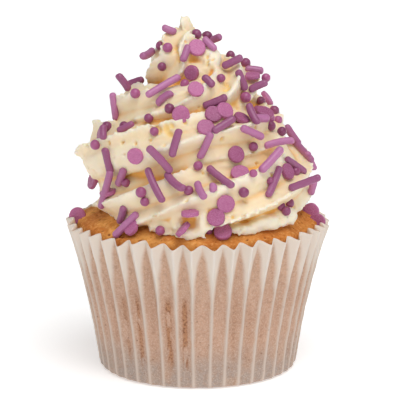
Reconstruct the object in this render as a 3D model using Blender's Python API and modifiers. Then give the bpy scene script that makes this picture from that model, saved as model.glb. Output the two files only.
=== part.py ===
"""A cupcake: a pleated paper case, the sponge baked in it, and a piped swirl of buttercream."""

import math

import bmesh
import bpy
import numpy as np

MM = 0.001
FULL_TURN = 2 * math.pi

# Paper case, measured on the outer side of its outward folds
PLEATS = 42
POINTS_PER_PLEAT = 4
PAPER_THICKNESS = 0.45 * MM
FOOT_RADIUS = 25.2 * MM
# The wall's reach is a radius at the foot, plus a flare and a curl (per metre) that grow with height.
WALL_RADIUS = 26.0 * MM
WALL_FLARE = 0.135
WALL_CURL = 2.2
RIM_HEIGHT = 39.0 * MM
RIM_WAVE = 0.9 * MM
RIM_WAVE_POWER = 8
PLEAT_DEPTH_FOOT = 0.5 * MM
PLEAT_DEPTH_RIM = 2.0 * MM
WALL_HEIGHTS = [1.0 * MM, 9.0 * MM, 25.0 * MM, RIM_HEIGHT]

# Sponge
FIT_GAP = 0.3 * MM
SPONGE_CROWN = 44.2 * MM
SPONGE_DROP = 5.6 * MM
SPONGE_RADIUS = 32.0 * MM
SPONGE_STEPS = 64
CROWN_POWER = 4
CROWN_SHARES = [0.0, 0.35, 0.6, 0.75, 0.87, 0.95]
SPONGE_HEIGHTS = [38.0 * MM, 27.0 * MM, 13.0 * MM, 3.0 * MM]

# Piped swirl: one rope of buttercream from an open star nozzle. A row is the turns made since the
# front of the first coil, the reach of the rope's middle from the axis, its height, the distance
# from its middle to the tip of a tooth, and how far the teeth have rolled outward and up, in
# degrees, because the nozzle isn't turned as the rope goes round.
TEETH = 6
VALLEY_SHARE = 0.72
VALLEY_ANGLE = math.radians(22)
ROPE = [
    (-0.44, 17.0 * MM, 44.6 * MM, 3.6 * MM, -150),
    (-0.25, 20.2 * MM, 45.4 * MM, 6.6 * MM, -88),
    (-0.12, 22.0 * MM, 46.6 * MM, 8.2 * MM, -42),
    (0.00, 22.4 * MM, 48.5 * MM, 9.5 * MM, 19),
    (0.25, 21.8 * MM, 50.2 * MM, 9.2 * MM, 93),
    (0.50, 21.2 * MM, 51.4 * MM, 9.8 * MM, 168),
    (0.64, 22.2 * MM, 53.2 * MM, 9.8 * MM, 211),
    (0.77, 22.6 * MM, 57.0 * MM, 8.8 * MM, 251),
    (0.90, 20.8 * MM, 61.0 * MM, 7.8 * MM, 291),
    (1.00, 18.6 * MM, 63.8 * MM, 7.4 * MM, 317),
    (1.11, 16.4 * MM, 63.4 * MM, 8.2 * MM, 338),
    (1.25, 14.0 * MM, 63.0 * MM, 8.9 * MM, 383),
    (1.50, 14.2 * MM, 64.6 * MM, 8.4 * MM, 470),
    (1.75, 15.8 * MM, 67.4 * MM, 7.8 * MM, 565),
    (2.00, 12.3 * MM, 71.4 * MM, 7.0 * MM, 640),
    (2.08, 11.3 * MM, 73.2 * MM, 7.4 * MM, 684),
    (2.15, 10.2 * MM, 74.4 * MM, 7.8 * MM, 726),
    (2.25, 8.6 * MM, 74.4 * MM, 8.0 * MM, 770),
    (2.50, 5.6 * MM, 76.0 * MM, 7.4 * MM, 860),
    (2.75, 3.8 * MM, 78.6 * MM, 7.6 * MM, 948),
    (3.00, 2.1 * MM, 82.0 * MM, 7.5 * MM, 1036),
    (3.10, 2.2 * MM, 83.6 * MM, 7.0 * MM, 1072),
    (3.20, 2.6 * MM, 84.6 * MM, 5.0 * MM, 1108),
    (3.28, 0.8 * MM, 88.2 * MM, 2.3 * MM, 1134),
    (3.35, 0.4 * MM, 90.4 * MM, 1.5 * MM, 1158),
    (3.42, 0.3 * MM, 92.3 * MM, 0.9 * MM, 1180),
]
POINTS_PER_TURN = 36
# The last turn leans to one side.
LEAN = -3.8 * MM
LEAN_START = 2.0
LEAN_END = 3.25

# What fills the middle of the swirl, from its top down: reach and height
CORE = [
    (0.0, 85.0 * MM),
    (3.0 * MM, 82.0 * MM),
    (8.5 * MM, 76.5 * MM),
    (14.0 * MM, 71.0 * MM),
    (17.0 * MM, 66.0 * MM),
    (20.3 * MM, 61.5 * MM),
    (22.3 * MM, 59.0 * MM),
    (23.3 * MM, 54.0 * MM),
    (22.0 * MM, 38.0 * MM),
    (0.0, 38.0 * MM),
]
CORE_STEPS = 32
ICING_VOXEL = 0.7 * MM
SOFTEN_ROUNDS = 3
ICING_KEEP = 0.062

# The seat cut in the underside of the icing follows the sponge's crown out to this share of its radius.
SEAT_SHARES = [0.0, 0.2, 0.4, 0.55, 0.7, 0.8, 0.9, 1.0, 1.2]
SEAT_CUTTER_FLOOR = 20.0 * MM
MERGE = 0.01 * MM


def clear_scene():
    for thing in list(bpy.data.objects):
        bpy.data.objects.remove(thing)


def new_collection(name):
    collection = bpy.data.collections.new(name)
    bpy.context.scene.collection.children.link(collection)
    return collection


def new_material(name, colour, roughness):
    material = bpy.data.materials.new(name)
    material.use_nodes = True
    shader = material.node_tree.nodes["Principled BSDF"]
    shader.inputs["Base Color"].default_value = (*colour, 1.0)
    shader.inputs["Roughness"].default_value = roughness
    shader.inputs["Metallic"].default_value = 0.0
    return material


def add_object(name, data, collection, material=None):
    thing = bpy.data.objects.new(name, data)
    collection.objects.link(thing)
    if material is not None:
        data.materials.append(material)
    return thing


def hide_guide(thing):
    thing.hide_render = True
    thing.display_type = "WIRE"


def evaluated_mesh(thing):
    bpy.context.view_layer.update()
    graph = bpy.context.evaluated_depsgraph_get()
    return bpy.data.meshes.new_from_object(thing.evaluated_get(graph))


def turned(name, profile, steps, collection, material=None):
    """A solid turned about Z from a profile of (reach, height), listed from the top down."""
    mesh = bpy.data.meshes.new(name)
    shape = bmesh.new()
    points = [shape.verts.new((reach, 0.0, height)) for reach, height in profile]
    for upper, lower in zip(points, points[1:]):
        shape.edges.new((upper, lower))
    shape.to_mesh(mesh)
    shape.free()
    thing = add_object(name, mesh, collection, material)
    screw = thing.modifiers.new("turn", "SCREW")
    screw.axis = "Z"
    screw.steps = steps
    screw.render_steps = steps
    screw.use_merge_vertices = True
    screw.merge_threshold = MERGE
    return thing


def case_reach(height):
    """The outer reach of the outward folds, flaring faster towards the rim."""
    return WALL_RADIUS + WALL_FLARE * height + WALL_CURL * height * height


def case_point(step, height):
    """One point of the pleated wall: an outward fold at step 0 and an inward fold halfway."""
    angle = FULL_TURN * step / (PLEATS * POINTS_PER_PLEAT)
    inward = 0.5 - 0.5 * math.cos(PLEATS * angle)
    share = height / RIM_HEIGHT
    depth = PLEAT_DEPTH_FOOT + (PLEAT_DEPTH_RIM - PLEAT_DEPTH_FOOT) * share
    reach = case_reach(height) - depth * inward
    rise = RIM_WAVE * (2 * inward - 1) * share**RIM_WAVE_POWER
    return (reach * math.cos(angle), reach * math.sin(angle), height + rise)


def build_case(collection):
    material = new_material("greaseproof paper", (0.78, 0.70, 0.64), 0.75)
    count = PLEATS * POINTS_PER_PLEAT
    shape = bmesh.new()
    bmesh.ops.create_circle(shape, cap_ends=True, radius=FOOT_RADIUS, segments=count)
    for height in WALL_HEIGHTS:
        edges = [edge for edge in shape.edges if edge.is_boundary]
        bmesh.ops.extrude_edge_only(shape, edges=edges)
        ring = [point for point in shape.verts if point.is_boundary]
        ring.sort(key=lambda point: math.atan2(point.co.y, point.co.x) % FULL_TURN)
        for step, point in enumerate(ring):
            point.co = case_point(step, height)
    bmesh.ops.recalc_face_normals(shape, faces=shape.faces)
    mesh = bpy.data.meshes.new("paper_case")
    shape.to_mesh(mesh)
    shape.free()
    case = add_object("paper_case", mesh, collection, material)
    wall = case.modifiers.new("paper", "SOLIDIFY")
    wall.thickness = PAPER_THICKNESS
    wall.offset = -1.0
    return case


def crown_height(reach):
    """The domed top of the sponge."""
    return SPONGE_CROWN - SPONGE_DROP * (reach / SPONGE_RADIUS) ** CROWN_POWER


def sponge_side(height):
    """The sponge stays just inside the inward folds of the case."""
    share = height / RIM_HEIGHT
    depth = PLEAT_DEPTH_FOOT + (PLEAT_DEPTH_RIM - PLEAT_DEPTH_FOOT) * share
    return case_reach(height) - depth - PAPER_THICKNESS - 2 * FIT_GAP


def build_sponge(collection):
    material = new_material("golden sponge", (0.55, 0.27, 0.07), 0.85)
    edge_height = crown_height(SPONGE_RADIUS)
    edge_reach = sponge_side(edge_height)
    crown = [(edge_reach * share, crown_height(edge_reach * share)) for share in CROWN_SHARES]
    side = [(sponge_side(height), height) for height in SPONGE_HEIGHTS]
    floor = PAPER_THICKNESS + FIT_GAP
    foot = [(FOOT_RADIUS - 2 * PAPER_THICKNESS, floor), (0.0, floor)]
    return turned("sponge", crown + side + foot, SPONGE_STEPS, collection, material)


def smooth_rows(turns):
    """Reach, height, thickness and roll of the rope at given turns, on smooth curves through ROPE."""
    rows = np.array(ROPE)
    knots = rows[:, 0]
    values = rows[:, 1:]
    slopes = np.gradient(values, knots, axis=0)
    place = np.clip(np.searchsorted(knots, turns, side="right") - 1, 0, len(knots) - 2)
    width = (knots[place + 1] - knots[place])[:, None]
    along = (turns - knots[place])[:, None] / width
    start, end = values[place], values[place + 1]
    start_slope, end_slope = slopes[place] * width, slopes[place + 1] * width
    return (
        start * (1 + 2 * along) * (1 - along) ** 2
        + start_slope * along * (1 - along) ** 2
        + end * along**2 * (3 - 2 * along)
        + end_slope * along**2 * (along - 1)
    )


def nozzle_outline(collection):
    """The star of the nozzle, one unit from its middle to a tooth's tip. Each valley lies close
    above a tooth, so that the ridges lap over one another."""
    curve = bpy.data.curves.new("nozzle", "CURVE")
    curve.dimensions = "2D"
    spline = curve.splines.new("POLY")
    spline.points.add(2 * TEETH - 1)
    for number, point in enumerate(spline.points):
        angle = FULL_TURN * (number // 2) / TEETH + VALLEY_ANGLE * (number % 2)
        radius = VALLEY_SHARE if number % 2 else 1.0
        point.co = (radius * math.cos(angle), radius * math.sin(angle), 0.0, 1.0)
    spline.use_cyclic_u = True
    nozzle = add_object("nozzle", curve, collection)
    hide_guide(nozzle)
    return nozzle


def rope_mesh(nozzle, collection):
    """The star swept along the spiral, with its teeth rolling as it goes."""
    first, last = ROPE[0][0], ROPE[-1][0]
    turns = np.linspace(first, last, round((last - first) * POINTS_PER_TURN))
    curve = bpy.data.curves.new("rope", "CURVE")
    curve.dimensions = "3D"
    curve.twist_mode = "Z_UP"
    curve.bevel_mode = "OBJECT"
    curve.bevel_object = nozzle
    curve.use_fill_caps = True
    spline = curve.splines.new("POLY")
    spline.points.add(len(turns) - 1)
    for point, turn, (reach, height, thickness, roll) in zip(spline.points, turns, smooth_rows(turns)):
        angle = FULL_TURN * (turn - 0.25)
        leaning = min(max((turn - LEAN_START) / (LEAN_END - LEAN_START), 0.0), 1.0)
        aside = LEAN * leaning * leaning * (3 - 2 * leaning)
        point.co = (reach * math.cos(angle) + aside, reach * math.sin(angle), height, 1.0)
        point.radius = thickness
        point.tilt = -math.radians(roll)
    rope = add_object("rope", curve, collection)
    mesh = evaluated_mesh(rope)
    bpy.data.objects.remove(rope)
    return mesh


def build_icing(collection, cutters):
    material = new_material("buttercream", (0.88, 0.76, 0.50), 0.5)
    nozzle = nozzle_outline(cutters)
    core = turned("core", CORE, CORE_STEPS, cutters)
    shape = bmesh.new()
    shape.from_mesh(rope_mesh(nozzle, cutters))
    bmesh.ops.remove_doubles(shape, verts=shape.verts, dist=MERGE)
    shape.from_mesh(evaluated_mesh(core))
    mesh = bpy.data.meshes.new("icing")
    shape.to_mesh(mesh)
    shape.free()
    hide_guide(core)
    icing = add_object("icing", mesh, collection, material)
    join = icing.modifiers.new("one body", "REMESH")
    join.mode = "VOXEL"
    join.voxel_size = ICING_VOXEL
    soften = icing.modifiers.new("soften", "SMOOTH")
    soften.iterations = SOFTEN_ROUNDS
    fewer = icing.modifiers.new("fewer faces", "DECIMATE")
    fewer.ratio = ICING_KEEP

    reaches = [SPONGE_RADIUS * share for share in SEAT_SHARES]
    crown = [(reach, crown_height(reach) + FIT_GAP) for reach in reaches]
    below = [(reaches[-1], SEAT_CUTTER_FLOOR), (0.0, SEAT_CUTTER_FLOOR)]
    cutter = turned("seat cutter", crown + below, SPONGE_STEPS, cutters)
    hide_guide(cutter)
    seat = icing.modifiers.new("seat on the sponge", "BOOLEAN")
    seat.operation = "DIFFERENCE"
    seat.solver = "EXACT"
    seat.object = cutter
    return icing


clear_scene()
parts = new_collection("cupcake")
guides = new_collection("cutters")
build_case(parts)
build_sponge(parts)
build_icing(parts, guides)
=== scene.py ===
import itertools
import math

import bmesh
import bpy
import numpy as np
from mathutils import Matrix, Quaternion, Vector
from mathutils.bvhtree import BVHTree
from mathutils.kdtree import KDTree


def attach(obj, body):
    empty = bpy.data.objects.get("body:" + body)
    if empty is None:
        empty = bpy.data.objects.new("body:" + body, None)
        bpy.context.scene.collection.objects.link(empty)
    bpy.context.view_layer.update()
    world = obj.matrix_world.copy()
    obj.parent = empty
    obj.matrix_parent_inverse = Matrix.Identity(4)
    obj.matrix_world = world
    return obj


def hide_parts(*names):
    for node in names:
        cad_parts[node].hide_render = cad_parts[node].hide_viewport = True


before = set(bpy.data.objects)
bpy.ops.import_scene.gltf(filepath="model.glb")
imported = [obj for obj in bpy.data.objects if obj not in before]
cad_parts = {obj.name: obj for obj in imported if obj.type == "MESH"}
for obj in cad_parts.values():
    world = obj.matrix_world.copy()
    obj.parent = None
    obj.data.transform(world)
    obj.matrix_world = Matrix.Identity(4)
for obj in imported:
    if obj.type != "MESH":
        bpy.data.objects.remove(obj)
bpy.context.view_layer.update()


# Paper case: one round sheet of white greaseproof paper, pressed into 42 pleats over a block.
# It is baked with the cake, so its inward folds stick to the crumb and show brown through the
# paper, while the outward folds stand clear and stay white.
mm = 0.001
full_turn = 2 * math.pi
pleats = 42
points_per_pleat = 18
first_fold = math.radians(2.3)
rim_height = 39.0
rim_wave = 0.54
foot_radius = 25.2
foot_curve = 1.3
foot_rings = (0.4, 8.0, 16.0, 22.0, foot_radius - foot_curve)
foot_touch = 0.8
paper_thickness = 0.16
# Up the wall: height, how far the inward folds lie behind the outward ones, how sharp the outward
# folds are, and how much of the way from an outward fold to an inward one the paper stays white
fold_rows = [
    (0.0, 0.35, 2.4, 0.15),
    (8.0, 0.60, 2.9, 0.14),
    (18.0, 0.95, 3.3, 0.10),
    (24.5, 1.25, 2.8, 0.10),
    (28.0, 1.50, 2.1, 0.20),
    (32.0, 1.80, 1.6, 0.38),
    (35.0, 1.95, 1.3, 0.58),
    (37.2, 2.05, 1.2, 0.85),
    (39.0, 2.20, 1.1, 1.15),
]
fold_heights, fold_depths, fold_sharpness, white_shares = zip(*fold_rows)
fold_round = 0.07
brown_softness = 0.32
# No two pleats are alike: in depth, how far they lean out at the rim, their height and their place
depth_spread = 0.12
lean_spread = 0.16
rise_spread = 0.28
swing_spread = 0.005
# Brown crumbs show through the paper between two heights, and most through three of the folds
crumbs_from = 4
crumbs_to = 26
crumbs_fade = 4
loose_crumbs = 0.55
crumbed_pleats = {27: 0.75, 29: 1.0, 30: 1.0}
chance = np.random.default_rng(48)


def wall_reach(height):
    """The outer reach of the outward folds, in millimetres."""
    return 26.0 + 0.135 * height + 0.0022 * height**2


def lumps(where, size, seed):
    """Smooth random values from -1 to 1 at points in space, in lumps of about the given size."""
    place = np.asarray(where, dtype=float) / size + 1000.0
    cell = np.floor(place).astype(np.int64)
    part = place - cell
    part = part * part * (3 - 2 * part)
    total = np.zeros(len(place))
    for corner in itertools.product((0, 1), repeat=3):
        x, y, z = (cell + np.array(corner)).T
        mixed = (x * 73856093) ^ (y * 19349663) ^ (z * 83492791) ^ (seed * 2654435761)
        mixed = (mixed ^ (mixed >> 13)) * 1274126177 & 0xFFFFFFFF
        value = ((mixed ^ (mixed >> 16)) & 0xFFFF) / 32767.5 - 1.0
        weight = np.prod(np.where(np.array(corner) == 1, part, 1 - part), axis=1)
        total += weight * value
    return total


def ring_at(reach, turn, height):
    """Points round the cake's axis, at a reach and a height that may change round the ring."""
    return np.stack([reach * np.cos(turn), reach * np.sin(turn), 0 * turn + height], axis=1)


def sheet_faces(rows, columns):
    """Four-sided faces over rows of points that each close into a ring."""
    row, column = np.meshgrid(np.arange(rows - 1), np.arange(columns), indexing="ij")
    after = (column + 1) % columns
    lower, upper = row * columns, (row + 1) * columns
    return np.stack([lower + column, lower + after, upper + after, upper + column], axis=-1).reshape(-1, 4)


def placed(name, data):
    """A new object in the scene that holds a mesh, a lamp or a camera."""
    holder = bpy.data.objects.new(name, data)
    bpy.context.scene.collection.objects.link(holder)
    return holder


def new_piece(name, points, faces, **marks):
    """A smooth-shaded piece from points in millimetres, with a value at each point for each mark."""
    mesh = bpy.data.meshes.new(name)
    mesh.from_pydata((points * mm).tolist(), [], faces)
    for mark, values in marks.items():
        layer = mesh.attributes.new(mark, "FLOAT", "POINT")
        layer.data.foreach_set("value", np.asarray(values, dtype=np.float32))
    mesh.shade_smooth()
    return placed(name, mesh)


def new_finish(piece, name, roughness):
    """A node material on the piece: its shader, and a function that adds a node."""
    material = bpy.data.materials.new(name)
    material.use_nodes = True
    tree = material.node_tree
    shader = tree.nodes["Principled BSDF"]
    shader.inputs["Roughness"].default_value = roughness
    piece.data.materials.clear()
    piece.data.materials.append(material)

    def node(kind, inputs=None, **settings):
        made = tree.nodes.new("ShaderNode" + kind)
        for key, value in settings.items():
            setattr(made, key, value)
        for key, value in (inputs or {}).items():
            if isinstance(value, bpy.types.NodeSocket):
                tree.links.new(value, made.inputs[key])
            else:
                made.inputs[key].default_value = value
        return made

    return shader, node


def feed(shader, socket, entry):
    """Lead a value into one of the shader's own sockets."""
    shader.id_data.links.new(socket, shader.inputs[entry])


def blended(node, share, *colours):
    """The first colour carried into the second by a share; each is a colour or a socket."""
    first, second = (
        colour if isinstance(colour, bpy.types.NodeSocket) else (*colour, 1.0) for colour in colours
    )
    return node("Mix", {0: share, 6: first, 7: second}, data_type="RGBA").outputs[2]


def between(node, value, low, high, start=0.0, end=1.0):
    """A value carried smoothly from the range low..high to start..end."""
    inputs = {0: value, 1: low, 2: high, 3: start, 4: end}
    return node("MapRange", inputs, interpolation_type="SMOOTHSTEP").outputs[0]


def tinted(node, base, tint, value, low, high, most=1.0):
    """A colour tinted with another: not at all where a value is low, and the most where it is high."""
    return blended(node, between(node, value, low, high, 0.0, most), base, tint)


def product(node, first, second):
    """Two values multiplied."""
    return node("Math", {0: first, 1: second}, operation="MULTIPLY").outputs[0]


def mark_of(node, name):
    """The value that the mesh carries at each point under a name."""
    return node("Attribute", attribute_name=name).outputs["Fac"]


def noise(node, place, scale, detail, roughness=0.5):
    """Random values that change smoothly over a surface; a larger scale makes finer lumps."""
    inputs = {"Vector": place, "Scale": scale, "Detail": detail, "Roughness": roughness}
    return node("TexNoise", inputs).outputs["Fac"]


def add_relief(shader, node, height, strength, depth):
    """Fine relief on a finish, from values over the surface and a depth in millimetres."""
    bump = node("Bump", {"Height": height, "Strength": strength, "Distance": depth * mm})
    feed(shader, bump.outputs[0], "Normal")


def let_light_in(shader, weight, colours, depth):
    """A finish that light enters: how much, how far each colour goes, and a depth in millimetres."""
    shader.inputs["Subsurface Weight"].default_value = weight
    shader.inputs["Subsurface Radius"].default_value = colours
    shader.inputs["Subsurface Scale"].default_value = depth * mm


columns = pleats * points_per_pleat
angles = first_fold + np.arange(columns) * full_turn / columns
pleat_number = np.arange(columns) // points_per_pleat
pleat_depth = 1 + depth_spread * chance.standard_normal(pleats)
pleat_lean = lean_spread * chance.standard_normal(pleats)
pleat_rise = rise_spread * chance.standard_normal(pleats)
pleat_swing = swing_spread * chance.standard_normal(pleats)
ring_share = (np.arange(columns) % points_per_pleat) / points_per_pleat


def per_pleat(values):
    """One value per pleat, carried smoothly from each outward fold to the next."""
    ease = ring_share * ring_share * (3 - 2 * ring_share)
    return values[pleat_number] * (1 - ease) + values[(pleat_number + 1) % pleats] * ease


crumb_load = loose_crumbs * chance.random(pleats)
for pleat, load in crumbed_pleats.items():
    crumb_load[pleat] = load

# 0 on an outward fold, 1 in the middle of an inward one, and rounded where the paper turns over
inwardness = np.hypot(1 - np.abs(2 * ring_share - 1), fold_round) - fold_round
rows = [ring_at(reach, angles, 0.0) for reach in foot_rings]
touches = [np.full(columns, foot_touch)] * len(rows)
crumbs = [np.zeros(columns)] * len(rows)
ridge_highlights = [np.zeros(columns)] * len(rows)
wall_heights = np.concatenate([[0.15, 0.5, 1.0], np.linspace(1.8, rim_height, 56)])
for height in wall_heights:
    depth = np.interp(height, fold_heights, fold_depths)
    outwardness = (1 - inwardness).clip(0, 1) ** np.interp(height, fold_heights, fold_sharpness)
    share = height / rim_height
    foot_tuck = foot_curve * (1 - math.sqrt(max(0.0, 1 - (1 - min(height / foot_curve, 1)) ** 2)))
    reach = wall_reach(height) - foot_tuck - depth * per_pleat(pleat_depth) * (1 - outwardness)
    reach = reach + per_pleat(pleat_lean) * share * share
    turn = angles + per_pleat(pleat_swing)
    turn = turn + 0.004 * lumps(np.stack([angles * 9, 0 * angles + height / 9, 0 * angles], axis=1), 1.0, 5)
    ring = ring_at(reach, turn, height)
    dents = 0.08 * lumps(ring, 2.6, 11) + 0.04 * lumps(ring, 0.9, 12)
    ring += ring_at(1.0, turn, 0.0) * dents[:, None]
    ring[:, 2] += share**8 * (per_pleat(pleat_rise) - rim_wave * np.cos(full_turn * ring_share))
    white_share = np.interp(height, fold_heights, white_shares) + 0.07 * lumps(ring, 3.0, 13)
    white_share = white_share + 0.05 * lumps(ring * (1, 1, 0.4), 1.0, 14)
    touches.append(np.clip((inwardness - white_share) / brown_softness + 0.5, 0, 1))
    window = np.clip((height - crumbs_from) / crumbs_fade, 0, 1)
    window *= np.clip((crumbs_to - height) / crumbs_fade, 0, 1)
    crumbs.append(window * crumb_load[pleat_number] * np.clip((inwardness - 0.45) / 0.3, 0, 1))
    # Near each outward fold edge the paper is marked for a painted highlight along the ridge
    ridge_highlights.append(np.clip(1 - inwardness / (0.10 + 0.10 * (1 - share)), 0, 1))
    rows.append(ring)
points = np.concatenate(rows + [[(0.0, 0.0, 0.0)]])
faces = sheet_faces(len(rows), columns).tolist()
faces += [(len(points) - 1, (step + 1) % columns, step) for step in range(columns)]
marks = {"touch": touches + [[foot_touch]], "crumbs": crumbs + [[0.0]], "ridge_highlight": ridge_highlights + [[0.0]]}
marks = {mark: np.concatenate(values) for mark, values in marks.items()}
case = new_piece("paper_case_skin", points, faces, **marks)
paper = case.modifiers.new("paper", "SOLIDIFY")
paper.thickness = paper_thickness * mm
paper.offset = -1.0

shader, node = new_finish(case, "greaseproof paper", 0.58)
place = node("TexCoord").outputs["Object"]
height = node("SeparateXYZ", {0: place}).outputs["Z"]
touch = mark_of(node, "touch")
stuck = mark_of(node, "crumbs")
ridge_highlight = mark_of(node, "ridge_highlight")
streak_place = node("Mapping", {"Vector": place, "Scale": (1.0, 1.0, 0.25)}).outputs[0]
fibres = noise(node, place, 1100.0, 3.0)
grain = noise(node, place, 2600.0, 3.0, 0.7)
patches = noise(node, streak_place, 260.0, 3.0)
stain = noise(node, place, 150.0, 4.0)
white = tinted(node, (0.558, 0.432, 0.356), (0.75, 0.645, 0.555), height, 2 * mm, 31 * mm)
brown = tinted(node, (0.385, 0.280, 0.215), (0.540, 0.317, 0.214), height, 2 * mm, 12 * mm)
brown = tinted(node, brown, (0.62, 0.385, 0.262), height, 20 * mm, 34 * mm)
brown = tinted(node, brown, (0.460, 0.262, 0.169), patches, 0.38, 0.68, 0.65)
damp = product(node, between(node, height, 14 * mm, 1 * mm), between(node, stain, 0.30, 0.56))
brown = blended(node, damp, brown, (0.345, 0.268, 0.228))
brown = tinted(node, brown, (0.37, 0.20, 0.122), fibres, 0.44, 0.70, 0.45)
brown = tinted(node, brown, (0.72, 0.56, 0.46), grain, 0.40, 0.75, 0.50)
paper_and_ridge_highlight = blended(node, touch, white, brown)
# Painted highlight: the outward fold edges are painted a greyer white that changes with height
edge = tinted(node, (0.60, 0.50, 0.43), (0.76, 0.68, 0.61), height, 24 * mm, 35 * mm)
paper_and_ridge_highlight = tinted(node, paper_and_ridge_highlight, edge, ridge_highlight, 0.0, 1.0, 0.7)
flecks = noise(node, place, 1500.0, 4.0, 0.7)
crumb_places = noise(node, streak_place, 520.0, 2.0)
baked = product(node, between(node, crumb_places, 0.37, 0.50), stuck)
paper_and_ridge_highlight = tinted(node, paper_and_ridge_highlight, (0.42, 0.185, 0.075), baked, 0.0, 1.0, 0.85)
dots = product(node, between(node, flecks, 0.50, 0.58), baked)
paper_and_ridge_highlight = blended(node, dots, paper_and_ridge_highlight, (0.22, 0.080, 0.03))
spot_cells = node("TexVoronoi", {"Vector": place, "Scale": 420.0}).outputs["Distance"]
spots = product(node, between(node, spot_cells, 0.13, 0.08), touch)
spots = product(node, spots, between(node, height, 26 * mm, 18 * mm, 0.0, 0.7))
paper_and_ridge_highlight = blended(node, spots, paper_and_ridge_highlight, (0.26, 0.13, 0.075))
feed(shader, paper_and_ridge_highlight, "Base Color")
add_relief(shader, node, fibres, 0.35, 0.06)
let_light_in(shader, 0.18, (1.0, 0.7, 0.5), 0.9)
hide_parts("paper_case")
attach(case, "root")


# Sponge: golden cake baked in the case, domed a little above the rim. Its crust is matt, with a
# fine open crumb of small pits, cracks and crumbs, and it sits against the inward folds.
crown_top = 44.2
crown_drop = 5.6
crown_reach = 32.0
crust_edge = 38.0
rim_fold_depth = 2.2
sponge_gap = 0.25
skin_gap = 0.6
sponge_foot = 0.6
sponge_columns = 620
crust_seed = 21


def crown_height(reach):
    """The height of the sponge's domed top at a reach from the axis."""
    return crown_top - crown_drop * (reach / crown_reach) ** 4


sponge_angles = np.arange(sponge_columns) * full_turn / sponge_columns
edge_reach = wall_reach(crust_edge) - rim_fold_depth - paper_thickness - sponge_gap
side = [(foot_radius - 2.0, sponge_foot), (25.0, 1.6)]
for height in (6, 14, 22, 30):
    side.append((wall_reach(height) - np.interp(height, fold_heights, fold_depths) - skin_gap, height))
side += [(edge_reach - 0.15, 36.4), (edge_reach, 37.4)]
top = [(reach, crown_height(reach)) for reach in np.linspace(edge_reach - 0.35, 17.5, 52)]
top += [(reach, crown_height(reach)) for reach in (12.0, 6.0, 1.0)]
rows = [ring_at(reach, sponge_angles, height) for reach, height in side + top]
points = np.concatenate(rows)
upward = np.clip((points[:, 2] - 36.5) / 1.5, 0, 1)
swell = 0.45 * lumps(points, 7.0, crust_seed) + 0.16 * lumps(points, 2.6, crust_seed + 1)
crumb = 0.09 * lumps(points, 0.8, crust_seed + 2) + 0.05 * lumps(points, 0.45, crust_seed + 5)
pits = np.clip(lumps(points, 0.9, crust_seed + 3) - 0.50, 0, 1) * 0.85
broken = np.clip(lumps(points, 4.0, crust_seed + 6), 0, 1)
cracks = np.clip(0.09 - np.abs(lumps(points, 1.9, crust_seed + 4)), 0, 1) * 2.4 * broken
points[:, 2] += upward * (swell + crumb - pits - cracks)
# The pits, cracks and low crumbs of the crust are marked for painted shade
hollows = upward * (pits + cracks + np.clip(-crumb, 0, 1))
points = np.concatenate([points, [(0.0, 0.0, sponge_foot), (0.0, 0.0, crown_top)]])
faces = sheet_faces(len(rows), sponge_columns).tolist()
first_of_top = (len(rows) - 1) * sponge_columns
for step in range(sponge_columns):
    after = (step + 1) % sponge_columns
    faces.append((len(points) - 2, after, step))
    faces.append((len(points) - 1, first_of_top + step, first_of_top + after))
sponge = new_piece("sponge_crumb", points, faces, hollow=np.concatenate([hollows, [0.0, 0.0]]))

shader, node = new_finish(sponge, "golden sponge", 0.82)
place = node("TexCoord").outputs["Object"]
hollow = mark_of(node, "hollow")
across = node("SeparateXYZ", {0: place}).outputs["X"]
bake = noise(node, place, 160.0, 4.0)
speck = noise(node, place, 1150.0, 4.0, 0.65)
# Painted light and shade: the crust is painted lighter towards the left side and darker towards the right
crust_and_painted_shading = tinted(node, (0.88, 0.42, 0.108), (0.71, 0.272, 0.057), across, -34 * mm, 20 * mm)
crust_and_painted_shading = tinted(node, crust_and_painted_shading, (0.60, 0.196, 0.036), bake, 0.35, 0.62)
crust_and_painted_shading = tinted(node, crust_and_painted_shading, (0.90, 0.54, 0.19), speck, 0.50, 0.68, 0.45)
crust_and_painted_shading = tinted(node, crust_and_painted_shading, (0.36, 0.105, 0.018), speck, 0.46, 0.30, 0.60)
# Painted shade: the pits and cracks are painted darker
crust_and_painted_shading = tinted(node, crust_and_painted_shading, (0.24, 0.055, 0.009), hollow, 0.03, 0.40)
feed(shader, crust_and_painted_shading, "Base Color")
add_relief(shader, node, speck, 0.8, 0.25)
shader.inputs["Specular IOR Level"].default_value = 0.25
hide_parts("sponge")
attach(sponge, "root")


# Icing: a rope of buttercream pressed through an open star nozzle with six teeth, laid on the
# sponge in a spiral of three and a half turns and pulled off at the top. The nozzle isn't turned,
# so the ridges roll outward and climb across each coil. Their edges tear and air leaves pits.
teeth = 6
valley_share = 0.68
valley_angle = math.radians(22)
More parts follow.
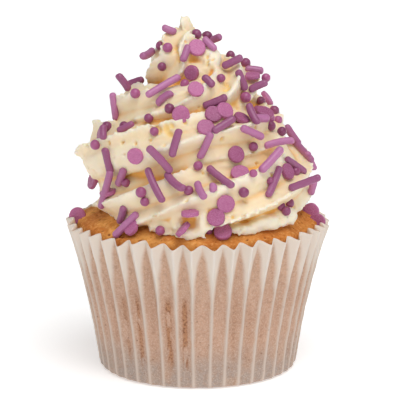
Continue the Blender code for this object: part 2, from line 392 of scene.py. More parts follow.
# Turns made since the front, reach of the rope's middle, its height, middle to tooth tip, and how
# far the teeth have rolled, in degrees
rope_rows = np.array([
    (-0.44, 17.0, 44.6, 3.6, -150),
    (-0.25, 20.2, 45.4, 6.6, -88),
    (-0.12, 22.0, 46.6, 8.2, -42),
    (0.00, 22.4, 48.5, 9.5, 19),
    (0.25, 21.8, 50.2, 9.2, 93),
    (0.50, 21.2, 51.4, 9.8, 168),
    (0.64, 22.2, 53.2, 9.8, 211),
    (0.77, 22.6, 57.0, 8.8, 251),
    (0.90, 20.8, 61.0, 7.8, 291),
    (1.00, 18.6, 63.8, 7.4, 317),
    (1.11, 16.4, 63.4, 8.2, 338),
    (1.25, 14.0, 63.0, 8.9, 383),
    (1.50, 14.2, 64.6, 8.4, 470),
    (1.75, 15.8, 67.4, 7.8, 565),
    (2.00, 12.3, 71.4, 7.0, 640),
    (2.08, 11.3, 73.2, 7.4, 684),
    (2.15, 10.2, 74.4, 7.8, 726),
    (2.25, 8.6, 74.4, 8.0, 770),
    (2.50, 5.6, 76.0, 7.4, 860),
    (2.75, 3.8, 78.6, 7.6, 948),
    (3.00, 2.1, 82.0, 7.5, 1036),
    (3.10, 2.2, 83.6, 7.0, 1072),
    (3.20, 2.6, 84.6, 5.0, 1108),
    (3.28, 0.8, 88.2, 2.3, 1134),
    (3.35, 0.4, 90.4, 1.5, 1158),
    (3.42, 0.3, 92.3, 0.9, 1180),
])
# What fills the middle of the swirl, from its top down: reach and height
core_rows = [
    (3.0, 82.0), (8.5, 77.0), (14.0, 71.8), (17.0, 66.5), (20.3, 62.0), (22.3, 60.0),
    (23.8, 57.5), (23.3, 54.0), (22.0, 43.5),
]
# Ridges pressed flat against the nozzle's side: which tooth, and from which turn to which
worn_ridges = [(1, 0.66, 0.95), (3, 1.90, 2.04)]
worn_height = 0.86
worn_ease = 0.05
# The last turn leans to the left, and its tip stands up and then hooks over
lean_from = 2.0
lean_turns = 1.25
lean_way = 3.8
hook_from = 3.0
hook_turns = 0.44
hook_way = 0.5
rope_steps = 900
points_per_tooth = 18
core_columns = 64
ragged_bits = 12
icing_voxel = 0.42
seat_gap = 0.12
# How many times the skin is smoothed: once it is one body, to find its folds, and to find its edges
skin_rounds = 2
fold_rounds = 160
edge_rounds = 8
rope_radius = 8.0


def rope_at(turns):
    """Reach, height, thickness and roll of the rope, on smooth curves through its rows."""
    knots, values = rope_rows[:, 0], rope_rows[:, 1:]
    slopes = np.gradient(values, knots, axis=0)
    start = np.clip(np.searchsorted(knots, turns, side="right") - 1, 0, len(knots) - 2)
    width = (knots[start + 1] - knots[start])[:, None]
    along = (turns - knots[start])[:, None] / width
    rise = along**2 * (3 - 2 * along)
    leave = along * (1 - along) ** 2 * width
    arrive = along**2 * (along - 1) * width
    course = values[start] * (1 - rise) + values[start + 1] * rise
    return (course + slopes[start] * leave + slopes[start + 1] * arrive).T


turns = np.linspace(rope_rows[0, 0], rope_rows[-1, 0], rope_steps)
reach, rise, thick, roll = rope_at(turns)
course = full_turn * (turns - 0.25)
lean = np.clip((turns - lean_from) / lean_turns, 0, 1)
hook = np.sin(math.pi * np.clip((turns - hook_from) / hook_turns, 0, 1))
centre = ring_at(reach, course, rise)
centre[:, 0] += hook_way * hook - lean_way * lean**2 * (3 - 2 * lean)
ahead = np.gradient(centre, axis=0)
ahead /= np.linalg.norm(ahead, axis=1, keepdims=True)
outward = np.stack([ahead[:, 1], -ahead[:, 0], 0 * turns], axis=1)
outward /= np.linalg.norm(outward, axis=1, keepdims=True)
upward = np.cross(outward, ahead)
roll = np.radians(roll)
around = np.arange(teeth * points_per_tooth) * full_turn / (teeth * points_per_tooth)
from_tooth = np.abs((np.arange(len(around)) / points_per_tooth + 0.5) % 1 - 0.5) * 2
# The valley lies close above each tooth, so the ridges lap over one another like shingles
tooth_step = full_turn / teeth
past_tooth = around % tooth_step
steep = past_tooth < valley_angle
near_reach = np.where(steep, 1.0, valley_share)
near_angle = np.where(steep, 0.0, valley_angle)
far_reach = np.where(steep, valley_share, 1.0)
far_angle = np.where(steep, valley_angle, tooth_step)
outline = near_reach * far_reach * np.sin(far_angle - near_angle)
outline /= near_reach * np.sin(past_tooth - near_angle) + far_reach * np.sin(far_angle - past_tooth)
flank = (past_tooth - valley_angle) / (tooth_step - valley_angle)
outline *= 1 + np.where(steep, 0.0, 0.05 * np.sin(math.pi * flank))
turn_grid, around_grid = np.meshgrid(turns, around, indexing="ij")
tooth_grid = np.round(around_grid / full_turn * teeth) % teeth
flow = np.cumsum(np.linalg.norm(np.diff(centre, axis=0, prepend=centre[:1]), axis=1))
flow_grid = np.repeat(flow[:, None], len(around), axis=1)
edge_grid = np.repeat((1 - from_tooth)[None, :], len(turns), axis=0)


def capped_faces(rows, columns):
    """The faces of a tube of rings, with one many-sided face over each end."""
    last = (rows - 1) * columns
    ends = [list(range(columns))[::-1], list(range(last, last + columns))]
    return sheet_faces(rows, columns).tolist() + ends


def along_rope(length, apart, seed):
    """Random values that change over a length of rope, in millimetres, and from tooth to tooth."""
    places = np.stack([flow_grid / length, tooth_grid * apart, 0 * flow_grid], axis=-1)
    return lumps(places.reshape(-1, 3), 1.0, seed).reshape(turn_grid.shape)


wander = along_rope(7, 3.7, 31)
tear = along_rope(1.1, 5.1, 32)
torn = np.clip(along_rope(9, 7.3, 33) + 0.1, 0, 1)
swollen = 1 + 0.035 * wander * edge_grid + 0.10 * tear * torn * edge_grid**3
turned = roll[:, None] + around_grid
ribs = np.repeat(outline[None, :], len(turns), axis=0)
for tooth, first, last in worn_ridges:
    off = np.abs((around - tooth * tooth_step + math.pi) % full_turn - math.pi)
    beside = np.clip((math.radians(52) - off) / math.radians(18), 0, 1)
    during = np.clip((turns - first) / worn_ease, 0, 1) * np.clip((last - turns) / worn_ease, 0, 1)
    ribs += (worn_height - ribs) * during[:, None] * beside[None, :]
spread = (thick[:, None] * ribs * swollen)[:, :, None]
sideways = np.cos(turned)[:, :, None] * outward[:, None]
surface = centre[:, None] + spread * (sideways + np.sin(turned)[:, :, None] * upward[:, None])
rope_points = surface.reshape(-1, 3)
core_angles = np.arange(core_columns) * full_turn / core_columns
core_points = np.concatenate([ring_at(wide, core_angles, high) for wide, high in reversed(core_rows)])


def dollop(middle, sizes, seed, fineness=4):
    """A lump of buttercream: an uneven ball with half sizes along the ring, outward and up."""
    ball = bmesh.new()
    bmesh.ops.create_icosphere(ball, subdivisions=fineness, radius=1.0)
    shape = np.array([point.co[:] for point in ball.verts])
    corners = [[point.index for point in face.verts] for face in ball.faces]
    ball.free()
    shape *= (1 + 0.20 * lumps(shape, 0.7, seed))[:, None]
    out = np.array([middle[0], middle[1], 0.0]) / math.hypot(middle[0], middle[1])
    beside = np.array([-out[1], out[0], 0.0])
    return np.array(middle) + (shape * sizes) @ np.array([beside, out, (0.0, 0.0, 1.0)]), corners


def joined_shapes(shapes):
    """The points and faces of several shapes as one mesh."""
    faces = []
    start = 0
    for points, corners in shapes:
        faces += [[corner + start for corner in face] for face in corners]
        start += len(points)
    return np.concatenate([points for points, _ in shapes]), faces


# The scooped blob where the nozzle first touched down: its brow, two cheeks, lip and the lump on
# its left. Then the fold that spreads under the first coil on the right, and a flick on the left.
dollops = [
    ((-2.1, -28.0, 47.4), (3.8, 2.0, 1.6), 41),
    ((1.2, -28.3, 44.6), (1.7, 2.3, 3.9), 46),
    ((-5.0, -27.4, 45.4), (1.6, 2.1, 3.0), 47),
    ((-2.4, -28.2, 41.6), (3.6, 2.3, 1.4), 44),
    ((-8.6, -25.6, 42.6), (3.8, 2.6, 2.0), 42),
    ((12.2, -25.0, 41.9), (5.0, 2.3, 1.3), 43),
    ((17.0, -21.4, 42.8), (5.6, 2.9, 2.1), 48),
    ((21.6, -17.8, 43.6), (4.2, 2.8, 2.4), 49),
    ((-29.2, -1.0, 57.4), (1.3, 1.7, 1.1), 45),
]
# Two lumps fill the hollow on the front where the last turn leaves the coil
fillers = [((0.2, -8.0, 78.6), (3.4, 2.6, 3.4), 50), ((3.6, -6.6, 81.6), (2.8, 3.0, 3.4), 52)]
rope = (rope_points, capped_faces(len(turns), len(around)))
core = (core_points, capped_faces(len(core_rows), core_columns))
shapes = [rope, core] + [dollop(*lump) for lump in dollops + fillers]
# Where the ridges tore as they left the nozzle: which tooth, from which turn to which, how many
# ragged bits stand on the edge, and how large they are
torn_edges = [
    (5, -0.03, 0.14, 46, 0.75), (1, -0.04, 0.02, 10, 0.5), (0, -0.10, 0.02, 12, 0.5),
    (2, 0.72, 0.80, 26, 0.8), (1, 0.70, 0.76, 16, 0.8), (3, 0.66, 0.76, 18, 0.8),
    (2, 0.84, 0.92, 10, 0.5), (1, 1.03, 1.14, 18, 0.5), (2, 1.76, 1.84, 14, 0.7),
    (3, 1.78, 1.88, 12, 0.5), (1, 2.08, 2.16, 10, 0.5), (2, 2.80, 3.24, 46, 0.65),
    (3, 2.75, 3.20, 26, 0.6), (0, 3.00, 3.20, 16, 0.5), (2, 3.24, 3.42, 22, 0.55),
    (4, 3.22, 3.42, 16, 0.5), (0, 3.24, 3.42, 16, 0.5), (4, 0.30, 0.44, 24, 0.7),
    (5, 0.46, 0.60, 24, 0.7), (3, 1.28, 1.40, 20, 0.6), (2, 1.48, 1.58, 18, 0.6),
    (1, 2.30, 2.45, 20, 0.6), (0, 2.50, 2.62, 14, 0.6), (5, 0.20, 0.28, 14, 0.6),
]
tear_chance = np.random.default_rng(12)
for tooth, first, last, count, size in torn_edges:
    for turn in tear_chance.uniform(first, last, count):
        step = min(int(np.searchsorted(turns, turn)), len(turns) - 1)
        tip = surface[step, tooth * points_per_tooth]
        out = tip - centre[step]
        spot = tip + out / max(np.linalg.norm(out), 0.1) * tear_chance.uniform(-0.3, 0.35) * size
        bit = size * tear_chance.uniform(0.5, 1.1, 3)
        shapes.append(dollop(spot, bit, int(tear_chance.integers(100, 900)), 1))
# Ragged bits hang from the edges of the blob and of the fold beside it
for middle, sizes, _ in dollops[:-1]:
    away = math.hypot(middle[0], middle[1])
    for _ in range(ragged_bits):
        offset = tear_chance.uniform(-1, 1)
        fullness = math.sqrt(1 - offset**2)
        bearing = math.atan2(middle[1], middle[0]) + offset * sizes[0] / away
        out = away + sizes[1] * 0.85 * fullness
        low = middle[2] - sizes[2] * tear_chance.uniform(0.45, 0.95) * fullness
        bit = 0.45 * tear_chance.uniform(0.6, 1.5, 3)
        spot = np.array([out * math.cos(bearing), out * math.sin(bearing), low])
        shapes.append(dollop(spot, bit, int(tear_chance.integers(100, 900)), 1))
points, faces = joined_shapes(shapes)
reach = np.minimum(np.hypot(points[:, 0], points[:, 1]), crown_reach)
points[:, 2] = np.maximum(points[:, 2], crown_height(reach) + seat_gap)
rough = new_piece("rough_icing", points, faces)
join = rough.modifiers.new("one body", "REMESH")
join.mode = "VOXEL"
join.voxel_size = icing_voxel * mm
bpy.context.view_layer.update()
evaluated = rough.evaluated_get(bpy.context.evaluated_depsgraph_get())
joined = bpy.data.meshes.new_from_object(evaluated)
bpy.data.objects.remove(rough)


def read_mesh(mesh):
    """A mesh's points in millimetres, its edges and its faces."""
    points = np.empty(len(mesh.vertices) * 3)
    mesh.vertices.foreach_get("co", points)
    edges = np.empty(len(mesh.edges) * 2, dtype=np.int64)
    mesh.edges.foreach_get("vertices", edges)
    faces = [list(face.vertices) for face in mesh.polygons]
    return points.reshape(-1, 3) / mm, edges.reshape(-1, 2), faces


def smoothed(values, edges, rounds):
    """Each point's values drawn half way to the mean of its neighbours', a number of times."""
    count = len(values)
    ends = np.concatenate([edges[:, 0], edges[:, 1]])
    others = np.concatenate([edges[:, 1], edges[:, 0]])
    neighbours = np.bincount(ends, minlength=count)[:, None]
    for _ in range(rounds):
        sums = [np.bincount(ends, weights=column[others], minlength=count) for column in values.T]
        values = values * 0.5 + np.stack(sums, axis=1) / neighbours * 0.5
    return values


def normals_of(points, faces):
    """Each point's outward direction, from the four-sided faces around it."""
    corners = np.array(faces)
    first, second, third, fourth = (points[corners[:, place]] for place in range(4))
    facings = np.repeat(np.cross(third - first, fourth - second), 4, axis=0)
    total = [np.bincount(corners.ravel(), weights=part, minlength=len(points)) for part in facings.T]
    total = np.stack(total, axis=1)
    return total / np.maximum(np.linalg.norm(total, axis=1, keepdims=True), 1e-12)


def outer_shell(points, edges, faces):
    """The largest connected part of a mesh, without the closed hollows left inside it."""
    label = np.arange(len(points))
    while True:
        least = label.copy()
        np.minimum.at(least, edges[:, 0], label[edges[:, 1]])
        np.minimum.at(least, edges[:, 1], label[edges[:, 0]])
        least = least[least]
        if np.array_equal(least, label):
            break
        label = least
    kept = label == np.bincount(label).argmax()
    number = np.cumsum(kept) - 1
    faces = [[int(number[corner]) for corner in face] for face in faces if kept[face[0]]]
    return points[kept], number[edges[kept[edges[:, 0]]]], faces


def tree_of(points):
    """A tree that finds the points near a place, each by its number."""
    tree = KDTree(len(points))
    for number, spot in enumerate(points):
        tree.insert(spot, number)
    tree.balance()
    return tree


points, edges, faces = outer_shell(*read_mesh(joined))
points = smoothed(points, edges, skin_rounds)
directions = normals_of(points, faces)
# Set against smoothed copies, each point shows how deep in a fold or how far out on an edge it lies
hollow = -np.sum((points - smoothed(points, edges, fold_rounds)) * directions, axis=1)
sharp = np.sum((points - smoothed(points, edges, edge_rounds)) * directions, axis=1)

# Streaks run along the rope, so each point takes its place on the rope from the nearest rope point
rope_tree = tree_of(rope_points)
nearest = np.array([rope_tree.find(spot)[1] for spot in points])
along = flow_grid.reshape(-1)[nearest]
ringwise = around_grid.reshape(-1)[nearest] * rope_radius
streak = lumps(np.stack([along / 9.0, ringwise / 0.9, 0 * along], axis=1), 1.0, 34)
scrape = lumps(np.stack([along / 4.0, ringwise / 0.45, 0 * along], axis=1), 1.0, 38)
skin = 0.11 * streak + 0.05 * scrape + 0.12 * lumps(points, 2.6, 35) + 0.05 * lumps(points, 0.9, 36)
ragged = np.clip((sharp - 0.02) / 0.10, 0, 1) * (lumps(points, 0.8, 37) + 0.6 * lumps(points, 2.5, 39))
points = points + directions * (skin + 0.30 * ragged)[:, None]

# Air pits: a few large ones on the front, given by how far across and above the middle of the
# front view they are and their size, and many small ones all over
camera_distance = 604.0
camera_pitch = math.radians(12.3)
sight_point = Vector((0.65, 0.0, 43.9))
eye = sight_point + camera_distance * Vector((0, -math.cos(camera_pitch), math.sin(camera_pitch)))
view_up = Vector((0, math.sin(camera_pitch), math.cos(camera_pitch)))


def sight_line(across, above):
    """The way from the eye through a place in the front view."""
    return (sight_point + Vector((across, 0, 0)) + above * view_up - eye).normalized()


front_pits = [
    (-11.8, 19.2, 1.4), (-10.8, 18.4, 1.1), (-8.9, 18.9, 1.3), (-8, 17.4, 1.0), (-7.4, 19.6, 0.8),
    (6.9, 29.2, 1.0), (7, 30.3, 0.7), (-5.7, 37.4, 0.6), (1.8, 37.6, 0.6), (1.9, 36.4, 0.6),
    (1.9, 35.4, 0.5), (-3.6, 41.6, 0.5), (5.8, 15.8, 0.6), (3.2, 16.5, 0.4), (-3.7, 0, 0.6),
    (8.6, -4.4, 0.6), (12, -0.5, 0.4), (11.4, -4.2, 0.5), (-9.4, 14.5, 0.5), (-6.2, 40, 0.8),
    (-6, 38.6, 0.7), (-5.6, 36.5, 0.6), (3.4, 37, 0.5), (-11.6, 12.2, 0.5), (-20.4, 15.2, 0.6),
    (-13, 15.8, 0.5), (-24, 15, 0.6), (-25.8, 13.4, 0.5), (-17, 14.8, 0.6),
]
pit_chance = np.random.default_rng(9)
pit_count = 150
pit_depth = 0.95
pit_draw = 1.6
smallest_pit = 0.30
pit_range = 0.55
pits = []
skin_of_icing = BVHTree.FromPolygons(points.tolist(), faces)
for across, above, size in front_pits:
    spot, _, _, _ = skin_of_icing.ray_cast(eye, sight_line(across, above))
    if spot:
        pits.append((np.array(spot), size))
for middle in pit_chance.integers(0, len(points), pit_count):
    pits.append((points[middle], smallest_pit + pit_range * pit_chance.random() ** 3))
point_tree = tree_of(points)
pitted = np.zeros(len(points))
for middle, size in pits:
    drawn = Vector(pit_chance.normal(0, 1, 3)).normalized()
    for spot, number, distance in point_tree.find_range(middle, 1.9 * size):
        off = spot - Vector(middle)
        along_draw = off.dot(drawn)
        beside = max(0.0, distance**2 - along_draw**2)
        reach = math.sqrt(beside + (along_draw / pit_draw) ** 2) / size
        pitted[number] = max(pitted[number], max(0.0, 1 - reach**2) * min(1.0, size / 0.6))
points = points - directions * (pit_depth * pitted)[:, None]
icing = new_piece("piped_swirl", points, faces, hollow=hollow, pitted=pitted)

shader, node = new_finish(icing, "buttercream", 0.46)
place = node("TexCoord").outputs["Object"]
fold = mark_of(node, "hollow")
pit = mark_of(node, "pitted")
tone = noise(node, place, 120.0, 3.0)
sugar = noise(node, place, 1900.0, 3.0)
air = noise(node, place, 650.0, 4.0, 0.65)
body = tinted(node, (0.89, 0.71, 0.45), (0.92, 0.76, 0.52), tone, 0.35, 0.65)
body = tinted(node, body, (0.87, 0.66, 0.38), air, 0.50, 0.75, 0.16)
# Painted light and shade: the crests are painted paler and the folds are painted a deep warm gold
cream_and_painted_light = tinted(node, (0.935, 0.83, 0.66), body, fold, -0.75, -0.10)
cream_and_painted_light = tinted(node, cream_and_painted_light, (0.96, 0.50, 0.09), fold, 0.12, 0.95, 0.9)
# Painted light: the air pits are painted a bright gold
cream_and_painted_light = tinted(node, cream_and_painted_light, (0.95, 0.66, 0.22), pit, 0.1, 0.9, 0.85)
feed(shader, cream_and_painted_light, "Base Color")
add_relief(shader, node, sugar, 0.3, 0.07)
let_light_in(shader, 0.34, (1.0, 0.58, 0.24), 1.9)
shader.inputs["Specular IOR Level"].default_value = 0.35
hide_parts("icing")
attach(icing, "root")


# Sprinkles: sugar strands, discs and beads dyed purple, tipped over the icing while it is soft, so
# that each sinks in a little. Strands are cut from a drawn rope of sugar paste, discs are stamped
# from a rolled sheet and dusted with sugar, and beads are tumbled in a pan.
strand_width = 1.95
disc_width = 4.4
disc_depth = 1.2
disc_corner = 0.32
bead_width = 2.45
# How many sides each kind has round its axis, so that it looks round
strand_sides = 22
disc_sides = 44
bead_sides = 30
# How far a sprinkle's middle stands out of the icing, as a share of its width or depth
strand_stand = 0.20
disc_stand = 0.2
front_bead_stand = 0.34
bead_stand = 0.30
most_lift = 3.6
# The room that a sprinkle takes up, and the room that a scattered one looks for beside the others
room_taken = {"strands": 1.2, "discs": 2.4, "beads": 1.2}
room_wanted = {"strands": 2.6, "discs": 2.6, "beads": 1.3}
# The sprinkles on the front are laid by how far across and above the middle of the front view they
# are, as the pits are. Both ends of each strand:
front_strands = [
    (-14, 27.5, -5.5, 32.5), (-11.5, 25.5, -7.5, 28.5), (-21.5, 33, -18.5, 29), (-16, 38, -12.5, 39),
    (-9.8, 45.3, -6.4, 44), (3.2, 42, 6.6, 43.6), (1, 42.5, 4, 39.5), (-4.5, 36.5, -3, 40.5),
    (6, 35, 11, 37.5), (10, 34, 12, 29), (12, 34.5, 16.5, 34), (13, 29, 17.5, 31), (1, 24.5, 7, 27),
    (12.5, 25, 15, 20), (3.5, 18, 9, 21.5), (11, 19, 16.5, 16.5), (-7.5, 11.5, -5.5, 18.5), (0, 11, 3, 17.5),
    (-13.5, 14, -7.5, 7.5), (-25, 13.5, -23.5, 7), (-23.5, 7.5, -26, -2), (-21.5, 4, -20, 8),
    (-14, 8, -10, -0.5), (-9, 6.5, -4.5, 2.5), (-1, 4.5, 1, 0.5), (2, 8.5, 8.5, 3.5),
    (17, 14.5, 24.5, 16), (16, 7.5, 21.5, 13.5), (22.5, 11, 27.5, 7.5), (18, 1, 21, 8.5),
    (23.5, 3, 31.5, 6), (29, 1.5, 30, 5), (-23, 28, -22, 21), (-22.5, -9.5, -16.5, -3.5),
    (-21, -6, -20, -2), (1, 32.5, 3.5, 30), (14, 21.5, 18, 21.5), (-21.5, 18, -17.5, 20),
    (22.5, 19.5, 26, 14.5), (25, 15.5, 29.5, 10.5), (28, 12.5, 30, 8), (-19, 30.5, -15.5, 32),
    (-25.5, 19.5, -25.5, 16), (3.5, 4, 3.5, 2.5),
]
front_discs = [
    (-0.8, 40), (-2.2, 33.4), (-1.1, 29.1), (-5, 22.5), (3.5, 22.5), (6.5, 23.5), (11, 21.5), (1.5, 19),
    (-17, 11.5), (9.5, 12), (10.5, 7), (23, 7.5), (6.8, -1), (4.2, -4.6), (17, 23),
]
front_beads = [
    (-1, 43.5), (8, 38), (12, 36), (-10, 35), (18, 32.5), (-17, 28), (-4, 30.5), (5.5, 32), (12, 27),
    (16, 26), (-8, 24), (-13.5, 21.5), (-12, 18), (-27.5, 14.5), (18.5, 19.5), (21.5, 18), (14, 14),
    (-0.5, 9), (14, 7), (-19.5, 4.5), (-3, 2.5), (-15.5, 2), (-14.5, -0.5), (11.5, 2), (18.5, 5),
    (-10.5, -8), (2, 43), (-10.5, 40.5), (-8.5, 40), (15, 23.5), (19.5, 23.5), (20.5, 21),
    (18.5, 21.5), (21.4, -1.7), (23.4, -0.8), (22.6, -2.9), (-20, 19.5), (25, 7.5), (2.2, -8.1),
    (-24.5, 19.2),
]
# Discs that stand on their edges: place, the slant of the edge in degrees, and how far the face
# turns towards the front, from 0 for edge on upwards
edge_discs = [
    (-2.6, -3.5, 3, 0.25), (-4.5, -7.7, 48, 0.15), (-18.0, -7.2, 60, 0.8), (6.0, -8.3, 5, 1.6),
    (-24.0, 2.1, 18, 0.3), (-26.0, 17.2, 80, 0.3), (13.4, 32.6, 4, 0.3), (17.8, 26.8, -55, 0.2),
    (-28.2, 5.4, 75, 0.4),
]
# Discs that fell between the rim and the icing: where they stand, in millimetres
rim_discs = [(-31.5, -1.3, 40.0), (31.3, -3.4, 38.8), (29.8, 0.4, 40.8)]
scatter = np.random.default_rng(73)
cake_meshes = [read_mesh(piece.data) for piece in (case, sponge, icing)]
cake_points, cake_faces = joined_shapes([(points, faces) for points, _, faces in cake_meshes])
cake = BVHTree.FromPolygons(cake_points.tolist(), cake_faces)


def seen_spot(across, above):
    """Where a place in the front view meets the cake, or its outline close by, and the way it faces."""
    for inset in np.arange(0, 8, 0.25).tolist():
        inner = across - math.copysign(inset, across)
        spot, facing, _, _ = cake.ray_cast(eye, sight_line(inner, above - 0.6 * inset))
        if spot:
            return spot + 0.7 * inset * Vector((math.copysign(1, across), 0, 0.6)), facing
    raise ValueError("no cake at %s, %s" % (across, above))


def seen_ends(start, end):
    """Both ends of a strand in the front view; one over a deep fold or past the outline is free."""
    met = [cake.ray_cast(eye, sight_line(*place))[:2] for place in (start, end)]
    seen_length = math.dist(start, end)
    if met[0][0] and met[1][0] and abs(met[0][0].y - met[1][0].y) < 0.8 * seen_length + 0.5:
        return met
    if not met[0][0] and not met[1][0]:
        return [seen_spot(*start), seen_spot(*end)]
    held = 0 if not met[1][0] or (met[0][0] and met[0][0].y < met[1][0].y) else 1
    depth = met[held][0].y - eye.y
    if met[1 - held][0]:
        depth += 0.5 * seen_length
    line = sight_line(*(start, end)[1 - held])
    met[1 - held] = (eye + line * (depth / line.y), met[held][1])
    return met


def turned_shape(profile, columns):
    """A closed body turned about its Z axis from (height, reach) pairs, bottom to top."""
    heights, reaches = np.array(profile).T
    rise, widen = np.gradient(heights), np.gradient(reaches)
    size = np.hypot(rise, widen)
    turn = np.arange(columns) * full_turn / columns
    points = [ring_at(reach, turn, height) for height, reach in profile]
    facings = [ring_at(up, turn, -out) for up, out in zip(rise / size, widen / size)]
    return np.concatenate(points), np.concatenate(facings), capped_faces(len(profile), columns)


def rounded(half_length, half_width, corner, steps):
    """The profile of a rod or a disc: flat ends, round corners and straight sides."""
    ends = np.linspace(0.02, half_width - corner, steps[0])
    sides = np.linspace(-half_length + corner, half_length - corner, steps[1])
    lower = [(-half_length, reach) for reach in ends[:-1]]
    for bend in np.linspace(0, math.pi / 2, 7):
        height = -half_length + corner * (1 - math.cos(bend))
        lower.append((height, half_width - corner * (1 - math.sin(bend))))
    middle = [(height, half_width) for height in sides[1:-1]]
    return lower + middle + [(-height, reach) for height, reach in reversed(lower)]


def roughened(points, facings, *layers):
    """Points moved in and out by layers of lumps, each with its height, its size and its seed."""
    shift = scatter.uniform(0, 90)
    heights = sum(height * lumps(points + shift, size, seed) for height, size, seed in layers)
    return points + facings * heights[:, None]


def strand_shape(length, width):
    """A strand lying along X, a little bent and uneven."""
    profile = rounded(length / 2, width / 2, 0.44 * width, (3, 18))
    points, facings, faces = turned_shape(profile, strand_sides)
    points = roughened(points, facings, (0.045, 0.7, 51), (0.02, 0.3, 52))
    bend = scatter.normal(0, 0.25) * (points[:, 2] / (length / 2)) ** 2
    return np.stack([points[:, 2], points[:, 0] + bend, points[:, 1]], axis=1), faces


def disc_shape(width):
    """A disc lying flat, with a sugared, grainy face."""
    profile = rounded(disc_depth / 2, width / 2, disc_corner, (14, 5))
    points, facings, faces = turned_shape(profile, disc_sides)
    return roughened(points, facings, (0.07, 0.34, 53), (0.05, 1.2, 54)), faces


def bead_shape(width):
    """A bead, a little out of round."""
    bends = np.linspace(-math.pi / 2 + 0.05, math.pi / 2 - 0.05, 22)
    profile = [(width / 2 * math.sin(bend), width / 2 * math.cos(bend)) for bend in bends]
    points, facings, faces = turned_shape(profile, bead_sides)
    return roughened(points, facings, (0.05, 1.1, 55), (0.02, 0.4, 56)), faces


def laid(shape, middle, along, facing):
    """A shape's points and faces moved to a place, its X along one way and its Z facing another."""
    points, faces = shape
    facing = Vector(facing).normalized()
    side = facing.cross(Vector(along)).normalized()
    ahead = side.cross(facing)
    return points @ np.array([ahead, side, facing]) + np.array(middle), faces


def burial(spots, facing, far):
    """How deep the cake buries the deepest of some spots, looked for up to a distance above them."""
    deepest = 0.0
    for spot in spots:
        over, _, _, _ = cake.ray_cast(spot + far * facing, -facing, 2 * far)
        if over:
            deepest = max(deepest, (over - spot).dot(facing))
    return deepest


def lifted(middle, height, facing, lift_way):
    """A middle moved along lift_way until it is a height further out the way it faces."""
    lift_way = lift_way or facing
    return middle + min(height / max(facing.dot(lift_way), 0.5), most_lift) * lift_way


def strand_between(first, last, width, lift_way=None):
    """A strand from one spot on the cake to another, lifted clear of what lies between."""
    (start, start_facing), (end, end_facing) = first, last
    facing = (start_facing + end_facing).normalized()
    along = end - start
    length = max(along.length + 0.4, 1.2 * width)
    facing = (facing - along.normalized() * facing.dot(along.normalized())).normalized()
    spots = [start.lerp(end, share) for share in np.linspace(0, 1, 9).tolist()]
    height = burial(spots, facing, 8) + strand_stand * width
    middle = lifted(start.lerp(end, 0.5), height, facing, lift_way)
    return laid(strand_shape(length, width), middle, along, facing), middle


def disc_at(spot, facing, heading, width, lift_way=None):
    """A disc resting on the cake at a spot, lifted to bear on the highest points under its edge."""
    side = facing.cross(heading).normalized()
    rim = []
    for turn in np.linspace(0, full_turn, 13)[:-1].tolist():
        rim.append(spot + 0.42 * width * (math.cos(turn) * heading.normalized() + math.sin(turn) * side))
    height = 0.8 * burial(rim, facing, 5) + disc_stand * disc_depth
    middle = lifted(spot, height, facing, lift_way)
    return laid(disc_shape(width), middle, heading, facing), middle


groups = {"strands": [], "discs": [], "beads": []}
taken = []


def keep(kind, made, *spots):
    """Put a sprinkle into its group, and note the spots that it takes up."""
    groups[kind].append(made)
    taken.extend((spot, room_taken[kind]) for spot in spots)


for start_across, start_above, end_across, end_above in front_strands:
    ends = seen_ends((start_across, start_above), (end_across, end_above))
    to_eye = (eye - ends[0][0]).normalized()
    made, middle = strand_between(*ends, strand_width * scatter.normal(1, 0.04), to_eye)
    keep("strands", made, ends[0][0], middle, ends[1][0])
for across, above in front_discs:
    spot, facing = seen_spot(across, above)
    for turn in np.linspace(0, full_turn, 9)[:-1].tolist():
        facing = facing + seen_spot(across + 1.6 * math.cos(turn), above + 1.6 * math.sin(turn))[1]
    facing = (facing.normalized() + Vector(scatter.normal(0, 0.12, 3))).normalized()
    width = disc_width * scatter.normal(1, 0.05)
    made, middle = disc_at(spot, facing, facing.orthogonal(), width, (eye - spot).normalized())
    keep("discs", made, middle)
for across, above, slant, turned_front in edge_discs:
    spot, facing = seen_spot(across, above)
    slant = math.radians(slant)
    line = sight_line(across, above)
    face = Vector((-math.sin(slant), 0, 0)) + math.cos(slant) * view_up - turned_front * line
    middle = spot - (0.30 + 0.15 * turned_front) * disc_width * line
    shape = disc_shape(disc_width * scatter.normal(1, 0.05))
    keep("discs", laid(shape, middle, face.orthogonal(), face), middle)
for spot in rim_discs:
    middle = Vector(spot)
    face = (eye - middle).normalized() + Vector(scatter.normal(0, 0.15, 3))
    keep("discs", laid(disc_shape(disc_width), middle, face.orthogonal(), face), middle)
for across, above in front_beads:
    spot, facing = seen_spot(across, above)
    width = bead_width * scatter.normal(1, 0.07)
    middle = spot + front_bead_stand * width * (eye - spot).normalized()
    keep("beads", laid(bead_shape(width), middle, facing.orthogonal(), facing), middle)

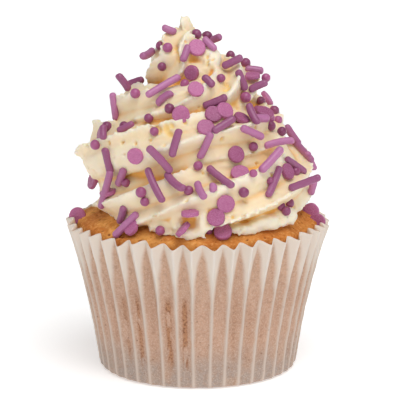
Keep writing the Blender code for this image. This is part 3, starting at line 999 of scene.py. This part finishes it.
# The rest are scattered where the front view doesn't reach. Each falls towards the axis of the swirl,
# which leans at the top, and is kept if it stays off the rim and is hidden from the front.
scatter_tries = 4000
scatter_shares = {"strands": 0.66, "discs": 0.18, "beads": 0.16}
fall_from = 90
lowest_aim = 40
aim_range = 54
lowest_spot = 38.5
widest_spot = 29.5
top_reach = 16
for _ in range(scatter_tries):
    bearing = scatter.uniform(0, full_turn)
    aim_height = lowest_aim + aim_range * scatter.random() ** 1.25
    aim = Vector((-3.6 * max(0.0, (aim_height - 75) / 17), 0, aim_height - 12))
    start = Vector((fall_from * math.cos(bearing), fall_from * math.sin(bearing), aim_height + 45))
    spot, facing, _, _ = cake.ray_cast(start, (aim - start).normalized())
    if not spot or spot.z < lowest_spot or Vector(spot.xy).length > widest_spot:
        continue
    to_eye = (eye - spot).normalized()
    if facing.dot(to_eye) > -0.12 and Vector(spot.xy).length > top_reach:
        continue
    if any(cake.ray_cast(spot + off * facing, to_eye)[0] is None for off in (0.3, 1.8, 3.6)):
        continue
    kind = scatter.choice(list(scatter_shares), p=list(scatter_shares.values()))
    room = room_wanted[kind]
    if any((spot - other).length < room + size for other, size in taken):
        continue
    heading = facing.orthogonal()
    heading.rotate(Quaternion(facing, scatter.uniform(0, full_turn)))
    if kind == "strands":
        half_length = scatter.uniform(1.6, 4.4)
        ends = []
        for end in (spot - half_length * heading, spot + half_length * heading):
            near, near_facing, _, _ = cake.ray_cast(end + 4 * facing, -facing, 9)
            ends.append((near, near_facing) if near else (end, facing))
        made, middle = strand_between(*ends, strand_width * scatter.normal(1, 0.05))
    elif kind == "discs":
        facing = (facing + Vector(scatter.normal(0, 0.2, 3))).normalized()
        made, middle = disc_at(spot, facing, heading, disc_width * scatter.normal(1, 0.05))
    else:
        width = bead_width * scatter.normal(1, 0.14)
        middle = spot + bead_stand * width * facing
        made = laid(bead_shape(width), middle, heading, facing)
    some_points = [Vector(point) for point in made[0][::25]]
    if any(cake.ray_cast(point, (eye - point).normalized())[0] is None for point in some_points):
        continue
    groups[kind].append(made)
    taken.append((middle, room))

# What each kind's finish is called, how dull it is, its lightest and darkest dye, how much sugar
# frosts it, and how grainy it is
finishes = {
    "strands": ("sugar paste", 0.36, (0.52, 0.190, 0.385), (0.26, 0.060, 0.155), 0.16, 0.2),
    "discs": ("sugared paste", 0.52, (0.55, 0.155, 0.345), (0.32, 0.064, 0.175), 0.544, 0.6),
    "beads": ("sugar shell", 0.30, (0.44, 0.110, 0.265), (0.21, 0.036, 0.110), 0.16, 0.2),
}
for kind, made in groups.items():
    shades = []
    for points, _ in made:
        shades += [scatter.random()] * len(points)
    piece = new_piece("sprinkle_" + kind, *joined_shapes(made), shade=shades)
    name, roughness, light, dark, frost, grain = finishes[kind]
    shader, node = new_finish(piece, name, roughness)
    place = node("TexCoord").outputs["Object"]
    sugar = noise(node, place, 6500.0, 2.0, 0.6)
    dye = blended(node, mark_of(node, "shade"), light, dark)
    dye = tinted(node, dye, (0.74, 0.44, 0.62), sugar, 0.45, 0.80, frost)
    dye = tinted(node, dye, (0.20, 0.045, 0.12), sugar, 0.48, 0.20, frost)
    feed(shader, dye, "Base Color")
    add_relief(shader, node, sugar, grain, 0.08)
    let_light_in(shader, 0.06, (1.0, 0.5, 0.8), 0.6)
    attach(piece, "root")


# Floor, lights and camera: a white table that sweeps up into a low white wall all round, under soft
# light from a large window in front and a white room, seen from a little above.
table_reach = 0.8
table_gap = 0.0002
sweep_bend = 0.2
wall_top = 0.24
sweep_steps = 12
round_steps = 128
table_profile = [(0.0, -table_gap), (table_reach, -table_gap)]
for step in range(1, sweep_steps + 1):
    bend = math.pi / 2 * step / sweep_steps
    table_profile.append((table_reach + sweep_bend * math.sin(bend), sweep_bend * (1 - math.cos(bend))))
table_profile.append((table_reach + sweep_bend, wall_top))
table = bmesh.new()
corners = [table.verts.new((wide, 0, high)) for wide, high in table_profile]
edges = [table.edges.new(pair) for pair in zip(corners, corners[1:])]
bmesh.ops.spin(
    table, geom=corners + edges, axis=(0, 0, 1), cent=(0, 0, 0), angle=full_turn, steps=round_steps,
    use_merge=True,
)
bmesh.ops.remove_doubles(table, verts=table.verts, dist=0.0001)
bmesh.ops.recalc_face_normals(table, faces=table.faces)
table_mesh = bpy.data.meshes.new("table")
table.to_mesh(table_mesh)
table.free()
table_mesh.shade_smooth()
floor = placed("table", table_mesh)
shader, _ = new_finish(floor, "white table", 0.7)
shader.inputs["Base Color"].default_value = (0.92, 0.92, 0.92, 1.0)
shader.inputs["Emission Color"].default_value = (1.0, 1.0, 1.0, 1.0)
shader.inputs["Emission Strength"].default_value = 0.42

world = bpy.data.worlds.new("white room")
bpy.context.scene.world = world
world.use_nodes = True
world.node_tree.nodes["Background"].inputs["Color"].default_value = (1.0, 1.0, 1.0, 1.0)
world.node_tree.nodes["Background"].inputs["Strength"].default_value = 0.25


def add_lamp(name, kind, strength, place, target):
    """A lamp that stands at a place and shines towards a target, both in metres."""
    lamp = bpy.data.lights.new(name, kind)
    lamp.energy = strength
    holder = placed(name, lamp)
    holder.location = place
    holder.rotation_euler = (Vector(target) - holder.location).to_track_quat("-Z", "Y").to_euler()
    return lamp


window = add_lamp("window", "SUN", 1.22, (0, 0, 0), (-0.15, 0.60, -1.0))
window.angle = math.radians(42)
softbox = add_lamp("softbox", "AREA", 0.34, (0.07, -0.10, 0.38), (0, 0, 0.06))
softbox.size = 0.24

camera = bpy.data.cameras.new("camera")
camera.sensor_width = 36.0
camera.lens = 207.0
viewer = placed("camera", camera)
viewer.location = eye * mm
viewer.rotation_euler = (math.radians(90) - camera_pitch, 0, 0)
bpy.context.scene.camera = viewer
bpy.context.scene.view_settings.view_transform = "Standard"
